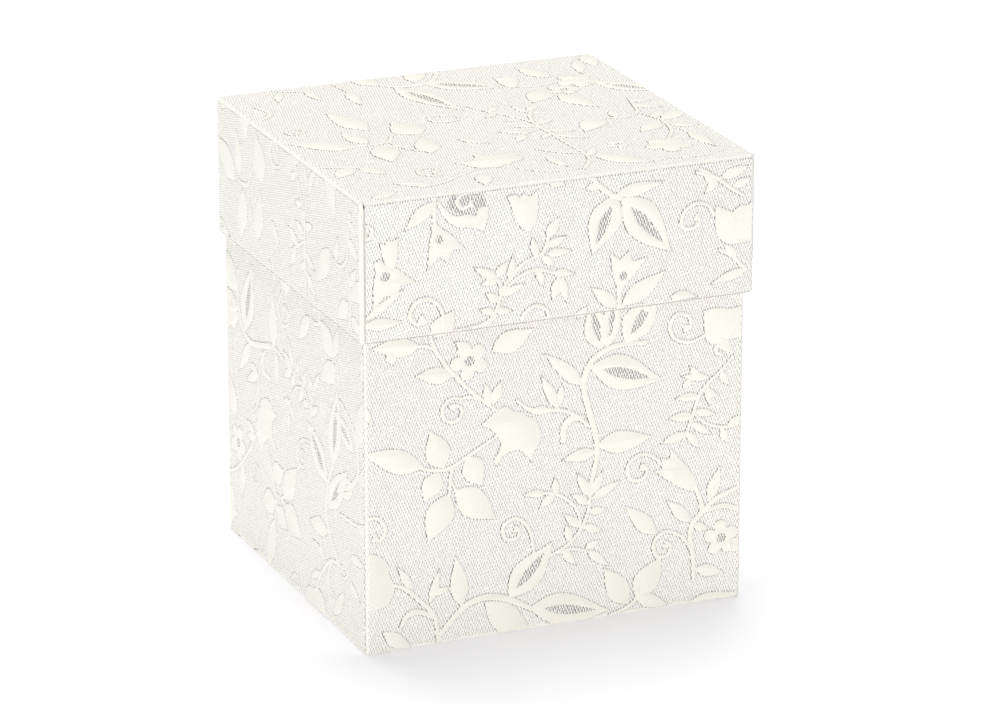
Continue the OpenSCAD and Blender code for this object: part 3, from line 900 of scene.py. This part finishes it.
TOP_PATTERN = [
    ("leaf", (19.2, 34.6), (15.8, 19.8), 6), ("leaf", (27.6, 41), (25, 31.4), 7.8),
    ("leaf", (13.2, 44.2), (1.8, 38), 6.6), ("leaf", (15.6, 43), (13.8, 33.4), 4.4),
    ("leaf", (17.4, 44.8), (15.6, 56.2), 6), ("leaf", (24.8, 53.4), (27, 42.4), 5.4),
    ("stem", [(12, 43.6), (16, 44), (20, 43.2), (22, 39.6), (24.8, 38)], 1.0),
    ("stem", [(20, 43.2), (20.6, 47), (23, 50.6), (25.4, 52.6)], 1.0), ("curl", (35.6, 32), 3.6, 8, .95),
    ("slit", (35, 8.4), (41.8, 29), 7), ("slit", (41.4, 7.8), (55.4, 17), 7.6),
    ("slit", (33, 6), (28.6, -3), 5),
    ("stem", [(30, -1), (32, 4), (36, 8.4), (42, 8.2), (46, 4), (48, -1)], 1.4),
    ("slit", (40, 6.6), (45, -4), 4.8), ("leaf", (25.4, 7.4), (24.4, 17.6), 2.9),
    ("stem", [(24.6, -1), (25, 4), (25.4, 8)], 1.0), ("leaf", (12.2, 3.4), (10, 9.4), 2.2),
    ("leaf", (17.6, 4), (18.4, 12), 2.2), ("stem", [(12, -1), (12.6, 2), (17.4, 4.4)], .9),
    ("tulip", (57, 18), (58.6, 9.6), 5.4), ("leaf", (67, 13.8), (63.2, 4.4), 5),
    ("rose", (71, 18.2), 4.5, .4), ("ring", (66, 23), 3.3, .2), ("leaf", (62, 21.8), (56.4, 29.6), 5.8),
    ("leaf", (63, 26.4), (67.4, 37), 5.2),
    ("stem", [(57, 17.4), (61, 18.8), (65, 17.8), (68.6, 17)], 1.0),
    ("stem", [(72, 21), (75, 23), (79, 24), (83, 26)], 1.0), ("slit", (73.6, 20.4), (83, 31), 6.2),
    ("leaf", (77, 4), (73.8, 14), 3), ("leaf", (79.8, 1), (79, 10), 4),
    ("stem", [(43.4, 26.6), (46, 32), (48.5, 36), (50.8, 41), (51, 46), (51.3, 52), (51.5, 58),
              (51.8, 64), (51, 69), (47.4, 74.6)], 1.1), ("leaf", (46, 32), (49, 28.6), 1.9),
    ("leaf", (46.6, 33.4), (43.6, 35.6), 1.9), ("leaf", (52.8, 35.4), (51.4, 30), 1.9),
    ("leaf", (53.4, 34.4), (56.8, 29.8), 2.2), ("stem", [(51, 42), (52.4, 37), (55, 32.5)], .9),
    ("leaf", (49.8, 38.6), (46, 39.6), 1.9), ("leaf", (51, 43.4), (55.4, 41.4), 2),
    ("leaf", (50.8, 44.6), (45.6, 43), 2), ("stem", [(51, 46), (48, 47.5), (43.4, 50)], .9),
    ("leaf", (47.6, 47.8), (42, 45.4), 2.3), ("leaf", (46.4, 48.6), (42.6, 53.4), 2.3),
    ("leaf", (51.2, 48), (56.4, 50.4), 2.1), ("leaf", (51.4, 51.6), (57.2, 56), 2.3),
    ("leaf", (51.2, 50), (48, 53), 1.9), ("leaf", (64.4, 43.6), (57.6, 52), 5.6),
    ("stem", [(64, 44), (67, 45.4), (70, 45.4), (73, 43), (74.2, 38.5), (75.4, 33)], 1.0),
    ("leaf", (67.4, 45.2), (68.6, 39.8), 2.6), ("leaf", (74, 38.6), (79, 42), 3),
    ("leaf", (74.8, 35.4), (78.6, 37), 2.2),
    ("stem", [(73, 43), (74.2, 47), (75, 50), (74.6, 54), (73.5, 58), (71, 62)], 1.0),
    ("leaf", (75, 50.4), (83, 44.4), 4), ("leaf", (74.4, 48), (77.8, 43.6), 2.6),
    ("leaf", (74, 51.4), (67.6, 56.4), 4), ("leaf", (75, 54), (80.6, 56), 3),
    ("leaf", (76.2, 59.6), (77.2, 70.6), 3.3), ("stem", [(74.6, 54.6), (76, 58), (76.6, 62)], .9),
    ("ring", (60.3, 62), 2.5, .3), ("rose", (69, 66), 4.7, .5), ("leaf", (52.8, 67.6), (62, 75.6), 5.4),
    ("stem", [(44.2, 58.6), (47, 62), (50, 64), (52, 64.6)], 1.0), ("leaf", (44.2, 64), (45.4, 72), 2.7),
    ("leaf", (52, 67), (55.4, 61.4), 2), ("stem", [(62, 75), (66, 74), (72, 75), (78, 73)], 1.0),
    ("bloom", (34, 62.6), .98, 2.2), ("curl", (20, 64.4), 3.1, 60, 1.1),
    ("stem", [(30, 66), (24, 69), (19.5, 72), (14, 73.4)], 1.0),
    ("leaf", (17.6, 72.6), (10.4, 69.4), 3.4), ("leaf", (28.4, 69.4), (26.2, 77.2), 3.6),
    ("stem", [(36, 69), (40, 73), (44.5, 73.6), (48, 73.8)], .9), ("leaf", (3, 77), (9.6, 73.6), 2.8),
    ("stem", [(-.5, 20.8), (4.2, 18.4), (5.8, 15), (4.4, 10.6)], 1.3), ("curl", (6, 30), 2.4, 100, 1.1),
    ("leaf", (7, 56), (2, 62), 4), ("leaf", (8.4, 57), (12, 63), 3.6),
    ("stem", [(-.5, 54), (4, 55), (8, 57), (9.6, 61)], 1.0), ("leaf", (33, 47), (37.6, 51.6), 2.6),
]


def clip(loop, left, right, low, high):
    """A closed outline cut off square at a rectangle."""
    for axis, limit, sign in ((0, left, 1), (0, right, -1), (1, low, 1), (1, high, -1)):
        kept = []
        for a, b in zip(loop, np.roll(loop, -1, 0)):
            inside, next_inside = sign * (a[axis] - limit) >= 0, sign * (b[axis] - limit) >= 0
            if inside:
                kept.append(a)
            if inside != next_inside:
                kept.append(a + (b - a) * (limit - a[axis]) / (b[axis] - a[axis]))
        if len(kept) < 3:
            return None
        loop = np.array(kept)
    keep = np.hypot(*(loop - np.roll(loop, 1, 0)).T) > 0.02
    loop = loop[keep]
    return loop if len(loop) > 3 else None


def area(loop):
    """An outline's area, above 0 where it runs anticlockwise."""
    x, y = loop.T
    return (x * np.roll(y, -1) - np.roll(x, -1) * y).sum() / 2


def spread_of(loop):
    """Away from the motif at every point of an outline, longer at corners."""
    run = np.roll(loop, -1, 0) - loop
    run /= np.maximum(np.hypot(*run.T), 1e-9)[:, None]
    out = np.stack([run[:, 1], -run[:, 0]], 1)
    both = out + np.roll(out, 1, 0)
    size = np.maximum(np.hypot(*both.T), 1e-6)[:, None]
    return both / size * np.minimum(2 / size, 1.35)


def free_level(loop, taken, margin):
    """The lowest level that no motif near this one holds, so that no two tops share a plane."""
    low, high = loop.min(0) - margin, loop.max(0) + margin
    near = {level for a, b, level in taken if (a < high).all() and (b > low).all()}
    level = min(set(range(len(near) + 1)) - near)
    taken.append((low, high, level))
    return level


def pattern_limits(face_name):
    """How far a face's pattern runs: left, right, low and high, past each fold and cut."""
    face = FACES[face_name]
    skirt = bpy.context.scene.card_sizes.skirt / MM
    past = {"fold": PAST_FOLD, "cut": skirt + PAST_CUT}
    if face.crease:
        foot = face.low + ABOVE_CREASE
    elif face_name == "lid_top":
        foot = face.low - PAST_FOLD
    else:
        foot = face.low + EDGE_BAND + skirt
    return (face.left - past[face.edges["left"]], face.right_end + past[face.edges["right"]],
            foot, face.high + past[face.edges["top"]])


def trim(outlines, place, limits):
    """A motif's outline and its holes, in place and cut off at the limits.

    The outline runs anticlockwise and the holes run clockwise. A hole that loses points is left out.
    """
    loops = []
    for k, outline in enumerate(outlines):
        whole = place(outline)
        loop = clip(whole, *limits)
        if loop is None or k and len(loop) < len(whole):
            break
        if (area(loop) > 0) == (k > 0):
            loop = loop[::-1]
        loops.append(loop)
    return loops


def draw_motifs(parts, limits, skirt):
    """All motifs of a face, drawn flat.

    Gives the points, the direction away from the motif at each, the triangles of the tops, and
    each point's own lift, pressed margin and whether it belongs to a hatch.
    """
    rows, faces, taken = [], [], []
    for items, place in parts:
        drawn = [(motif_loops(item), item[0] == "hatch") for item in items]
        drawn += [([hole], True) for outlines, _ in drawn for hole in outlines[1:]]
        for outlines, is_hatch in drawn:
            loops = trim(outlines, place, limits)
            if not loops:
                continue
            level = free_level(loops[0], taken, skirt)
            start = sum(len(row) for row in rows)
            spreads = [spread_of(loop) for loop in loops]
            tops = [[Vector((*p, 0)) for p in loop + away * TOP_REACH]
                    for loop, away in zip(loops, spreads)]
            for triangle in tessellate_polygon(tops):
                faces.append([start + i for i in triangle])
            for k, (loop, away) in enumerate(zip(loops, spreads)):
                carried = (level * LEVEL, skirt * (HOLE_MARGIN if k else 1), is_hatch)
                rows.append(np.hstack([loop, away, np.tile(carried, (len(loop), 1))]))
    table = np.concatenate(rows)
    lift, margin, hatch = table[:, 4:].T
    return table[:, :2], table[:, 2:4], faces, lift, margin, hatch > 0


def set_chosen(mesh, name, chosen, values):
    """Writes an attribute at the chosen points, and leaves the others as they are."""
    data = mesh.attributes[name].data
    every = np.empty(len(mesh.vertices), np.float32)
    data.foreach_get("value", every)
    every[chosen] = values
    data.foreach_set("value", every)


def face_out(mesh):
    """Turns the undersides down and all other faces of a flat pattern up."""
    heights = points(mesh)[:, 2]
    for polygon in mesh.polygons:
        level = heights[list(polygon.vertices)]
        under, over = level.max() < UNDERSIDE, level.min() > UNDERSIDE
        if under and polygon.normal.z > 0 or over and polygon.normal.z < 0:
            polygon.flip()


def raise_pattern(face_name, parts, body):
    """Raises every motif of a face from flat outlines, by extruding them level by level."""
    face, sizes = FACES[face_name], bpy.context.scene.card_sizes
    rise, skirt = sizes.raise_height / MM, sizes.skirt / MM
    limits = pattern_limits(face_name)
    flat, spread, faces, lift, margin, hatch = draw_motifs(parts, limits, skirt)
    smooth = SIDE_SMOOTH if face_name in TURNED_WEAVE else 1.0
    # A motif's margin gets painted shade, darkest at its left and lightest at its right.
    shade = np.clip(0.62 + 0.38 * (spread @ np.array([-0.94, -0.1])), 0.1, 1)
    on_face = ((flat[:, 0] > face.left) & (flat[:, 0] < face.right_end)
               & (flat[:, 1] > max(face.low, limits[2] + 0.01)) & (flat[:, 1] < face.high))
    mesh = bpy.data.meshes.new(face_name + "_pattern")
    mesh.from_pydata([(*p, 0) for p in flat], [], faces)
    seats = mesh.attributes.new("seat", "INT", "POINT").data
    seats.foreach_set("value", np.arange(len(flat), dtype=np.int32))
    for name in ("rim", "raised"):
        mesh.attributes.new(name, "FLOAT", "POINT")
    pattern = bpy.data.objects.new(mesh.name, mesh)
    bpy.context.collection.objects.link(pattern)
    free_hands()
    edit(pattern)
    pick(mesh.polygons)
    # share of the margin, reach beyond the outline, height, painted shade of the margin, smooth top
    levels = ((1, 0.04, -0.06, 0, 0), (1, 0.04, -0.014, 0.4, 0), (0, 0.04, 0.03, 1, 0),
              (0, -0.03, 0.72 * rise, 0.8, 0.5), (0, TOP_REACH, rise, 0, 1))
    for step, (share, reach, height, rim, raised) in enumerate(levels):
        if step:
            bpy.ops.mesh.extrude_region_move()
        bpy.ops.object.mode_set(mode="OBJECT")
        chosen = np.empty(len(mesh.vertices), bool)
        mesh.vertices.foreach_get("select", chosen)
        seat = np.empty(len(mesh.vertices), np.int32)
        mesh.attributes["seat"].data.foreach_get("value", seat)
        s = seat[chosen]
        co = points(mesh)
        co[chosen, :2] = flat[s] + spread[s] * (reach + share * margin[s])[:, None]
        co[chosen, 2] = (np.where(hatch[s], min(height, HATCH_HEIGHT), height)
                         + lift[s] * np.where(hatch[s], HATCH_STEP, 1))
        mesh.vertices.foreach_set("co", co.ravel())
        # Painted shade for the margins, shaded by direction, and an even painted shade tone for the
        # hatches.
        set_chosen(mesh, "rim", chosen, (np.where(hatch, HATCH_TONE, rim * shade) * on_face)[s])
        set_chosen(mesh, "raised", chosen, np.where(hatch, 0.0, raised * smooth)[s])
        mesh.update()
        bpy.ops.object.mode_set(mode="EDIT")
    outwards()
    bpy.ops.object.mode_set(mode="OBJECT")
    face_out(mesh)
    stand_up(pattern, face_name, tucked=True)
    bpy.ops.object.mode_set(mode="EDIT")
    bpy.ops.mesh.select_all(action="SELECT")
    bpy.ops.mesh.remove_doubles(threshold=0.002 * MM)
    bpy.ops.object.mode_set(mode="OBJECT")
    mesh.attributes.remove(mesh.attributes["seat"])
    mesh.materials.append(finish("embossed_card"))
    bpy.ops.object.shade_smooth_by_angle(angle=MOTIF_ANGLE)
    hand_over(pattern, face_name + "_pattern", body, "embossed_card")


def laid(left, top, turn=0, flip=False):
    """How a pattern list lies on a face: its corner, quarter turns and mirroring."""
    def place(loop):
        x, y = loop[:, 0] * (-1 if flip else 1), -loop[:, 1]
        for _ in range(turn % 4):
            x, y = -y, x
        return np.stack([x + left, y + top], 1)
    return place


# ---------------------------------------------------------------- operators


# Millimetres: how far right of the box's middle and below it the camera is aimed.
AIM = (2.76, 1.25)
# Each soft light's name, setting, place and width, in metres.
LAMPS = (("back light", "back", (0.1, 0.46, 1.5), 1.0),
         ("front light", "front", (0.25, -1.4, 0.16), 0.8),
         ("left light", "side", (-1.4, -0.3, 0.3), 0.8))


class CARDBOX_OT_studio(bpy.types.Operator):
    """Add the camera, the pale floor and the soft lights"""

    bl_idname = "cardbox.studio"
    bl_label = "Studio"

    def execute(self, context):
        s, scene = context.scene.studio, context.scene
        a, e = s.azimuth, s.elevation
        back = Vector((math.sin(a) * math.cos(e), -math.cos(a) * math.cos(e), math.sin(e)))
        right = Vector((math.cos(a), math.sin(a), 0))
        up = back.cross(right)
        camera = bpy.data.objects.new("camera", bpy.data.cameras.new("camera"))
        camera.data.lens, camera.data.sensor_width = s.lens, 36
        camera.data.clip_start, camera.data.clip_end = 0.01, 100
        spot = MIDDLE + right * AIM[0] * MM - up * AIM[1] * MM + back * s.distance
        camera.matrix_world = Matrix.Translation(spot) @ Matrix((right, up, back)).transposed().to_4x4()
        scene.collection.objects.link(camera)
        scene.camera = camera
        free_hands()
        bpy.ops.mesh.primitive_circle_add(vertices=96, radius=6, fill_type="NGON", location=(0, 0, 0))
        floor = context.object
        floor.name = "floor"
        edit(floor)
        pick(floor.data.polygons)
        bpy.ops.mesh.inset(thickness=3)
        bpy.ops.object.mode_set(mode="OBJECT")
        f = Finish("white floor")
        cloud = f.noise(f.add("ShaderNodeTexCoord", out=3), 4.0)
        white = f.tint(f.mix(cloud.held() * 0.2, (0.925, 0.92, 0.95), (0.9, 0.895, 0.925)), cloud * 0.002)
        floor.data.materials.append(f.shade(
            white, cloud * 0.02 + 0.7, cloud, 0.00001, Specular_IOR_Level=0.1,
            Emission_Color=(1, 1, 1, 1), Emission_Strength=s.glow))
        world = bpy.data.worlds.new("room")
        world.use_nodes = True
        world.node_tree.nodes["Background"].inputs["Color"].default_value = (1, 1, 1, 1)
        world.node_tree.nodes["Background"].inputs["Strength"].default_value = s.sky
        scene.world = world
        for name, setting, place, size in LAMPS:
            lamp = bpy.data.objects.new(name, bpy.data.lights.new(name, "AREA"))
            lamp.data.energy, lamp.data.size = getattr(s, setting), size
            lamp.location = place
            lamp.rotation_euler = (Vector(place) - MIDDLE).to_track_quat("Z", "Y").to_euler()
            scene.collection.objects.link(lamp)
        scene.view_settings.view_transform = "Standard"
        return {"FINISHED"}


class CARDBOX_OT_walls(bpy.types.Operator):
    """Cut the walls of the base and the lid, with softened cut edges"""

    bl_idname = "cardbox.walls"
    bl_label = "Walls"

    def execute(self, context):
        for name in FACES:
            node = name + ("_panel" if name.startswith("base") or name == "lid_top" else "_wall")
            cut_wall(name, node)
        return {"FINISHED"}


class CARDBOX_OT_creases(bpy.types.Operator):
    """Sweep the rounded creases between the walls"""

    bl_idname = "cardbox.creases"
    bl_label = "Creases"

    def execute(self, context):
        for node in sorted(NODES):
            if node.startswith("base_fold"):
                spin_crease(node, "base")
            elif node.startswith("bottom_fold"):
                spin_crease(node, "base", woven=False)
            elif node.startswith(("lid_fold", "lid_corner")):
                spin_crease(node, "lid")
        return {"FINISHED"}


class CARDBOX_OT_base_pattern(bpy.types.Operator):
    """Raise the vine pattern on the four walls of the base"""

    bl_idname = "cardbox.base_pattern"
    bl_label = "Base pattern"

    def execute(self, context):
        front, side = BASE_LEFT, FACES["base_left"].left
        raise_pattern("base_front", [(BODY_PATTERN, laid(front, LID_FOOT)),
                                     (BAND_PATTERN, laid(front, LID_FOOT + 28))], "base")
        raise_pattern("base_back", [(BODY_PATTERN, laid(front, LID_FOOT + 27, 0)),
                                    (BAND_PATTERN, laid(front, 27.6))], "base")
        raise_pattern("base_left", [(BODY_PATTERN, laid(side - 1, -1, 1)),
                                    (TOP_PATTERN, laid(side + 63, 0, 1))], "base")
        raise_pattern("base_right", [(TOP_PATTERN, laid(side - 2, 91)),
                                     (BAND_PATTERN, laid(side - 2, 13))], "base")
        return {"FINISHED"}


class CARDBOX_OT_lid_pattern(bpy.types.Operator):
    """Raise the vine pattern on the top and the walls of the lid"""

    bl_idname = "cardbox.lid_pattern"
    bl_label = "Lid pattern"

    def execute(self, context):
        side = FACES["lid_left"].left
        raise_pattern("lid_front", [(BAND_PATTERN, laid(LID_LEFT, LID_HEAD))], "lid")
        raise_pattern("lid_back", [(BODY_PATTERN, laid(LID_LEFT + 1, LID_HEAD + 15))], "lid")
        raise_pattern("lid_left", [(TOP_PATTERN, laid(side - 3, LID_HEAD + 30))], "lid")
        raise_pattern("lid_right", [(BODY_PATTERN, laid(side - 1, LID_HEAD + 34))], "lid")
        raise_pattern("lid_top", [(TOP_PATTERN, laid(LID_LEFT, LID_BACK))], "lid")
        return {"FINISHED"}


class CARDBOX_OT_inner_card(bpy.types.Operator):
    """Finish the flaps, tabs and glue lines that keep their frame shapes"""

    bl_idname = "cardbox.inner_card"
    bl_label = "Flaps, tabs and glue"

    def execute(self, context):
        for name, node in NODES.items():
            material = finish("glue_line" if "glue" in name else "card_inside")
            node.data.materials.clear()
            node.data.materials.append(material)
        return {"FINISHED"}


STEPS = (CARDBOX_OT_studio, CARDBOX_OT_inner_card, CARDBOX_OT_walls, CARDBOX_OT_creases,
         CARDBOX_OT_base_pattern, CARDBOX_OT_lid_pattern)
GROUPS = {"card_sizes": CardSizes, "card_colours": CardColours, "studio": StudioSettings}


class CARDBOX_PT_panel(bpy.types.Panel):
    """The card box's settings and building steps"""

    bl_idname = "CARDBOX_PT_panel"
    bl_label = "Card box"
    bl_space_type = "VIEW_3D"
    bl_region_type = "UI"
    bl_category = "Card box"

    def draw(self, context):
        for group, kind in GROUPS.items():
            for name in kind.__annotations__:
                self.layout.prop(getattr(context.scene, group), name)
        for step in STEPS:
            self.layout.operator(step.bl_idname)


def register():
    for kind in (*GROUPS.values(), *STEPS, CARDBOX_PT_panel):
        bpy.utils.register_class(kind)
    for name, kind in GROUPS.items():
        setattr(bpy.types.Scene, name, bpy.props.PointerProperty(type=kind))


def unregister():
    for name in GROUPS:
        delattr(bpy.types.Scene, name)
    for kind in reversed((*GROUPS.values(), *STEPS, CARDBOX_PT_panel)):
        bpy.utils.unregister_class(kind)


def main():
    register()
    for step in STEPS:
        group, name = step.bl_idname.split(".")
        getattr(getattr(bpy.ops, group), name)()


if __name__ == "__main__":
    main()
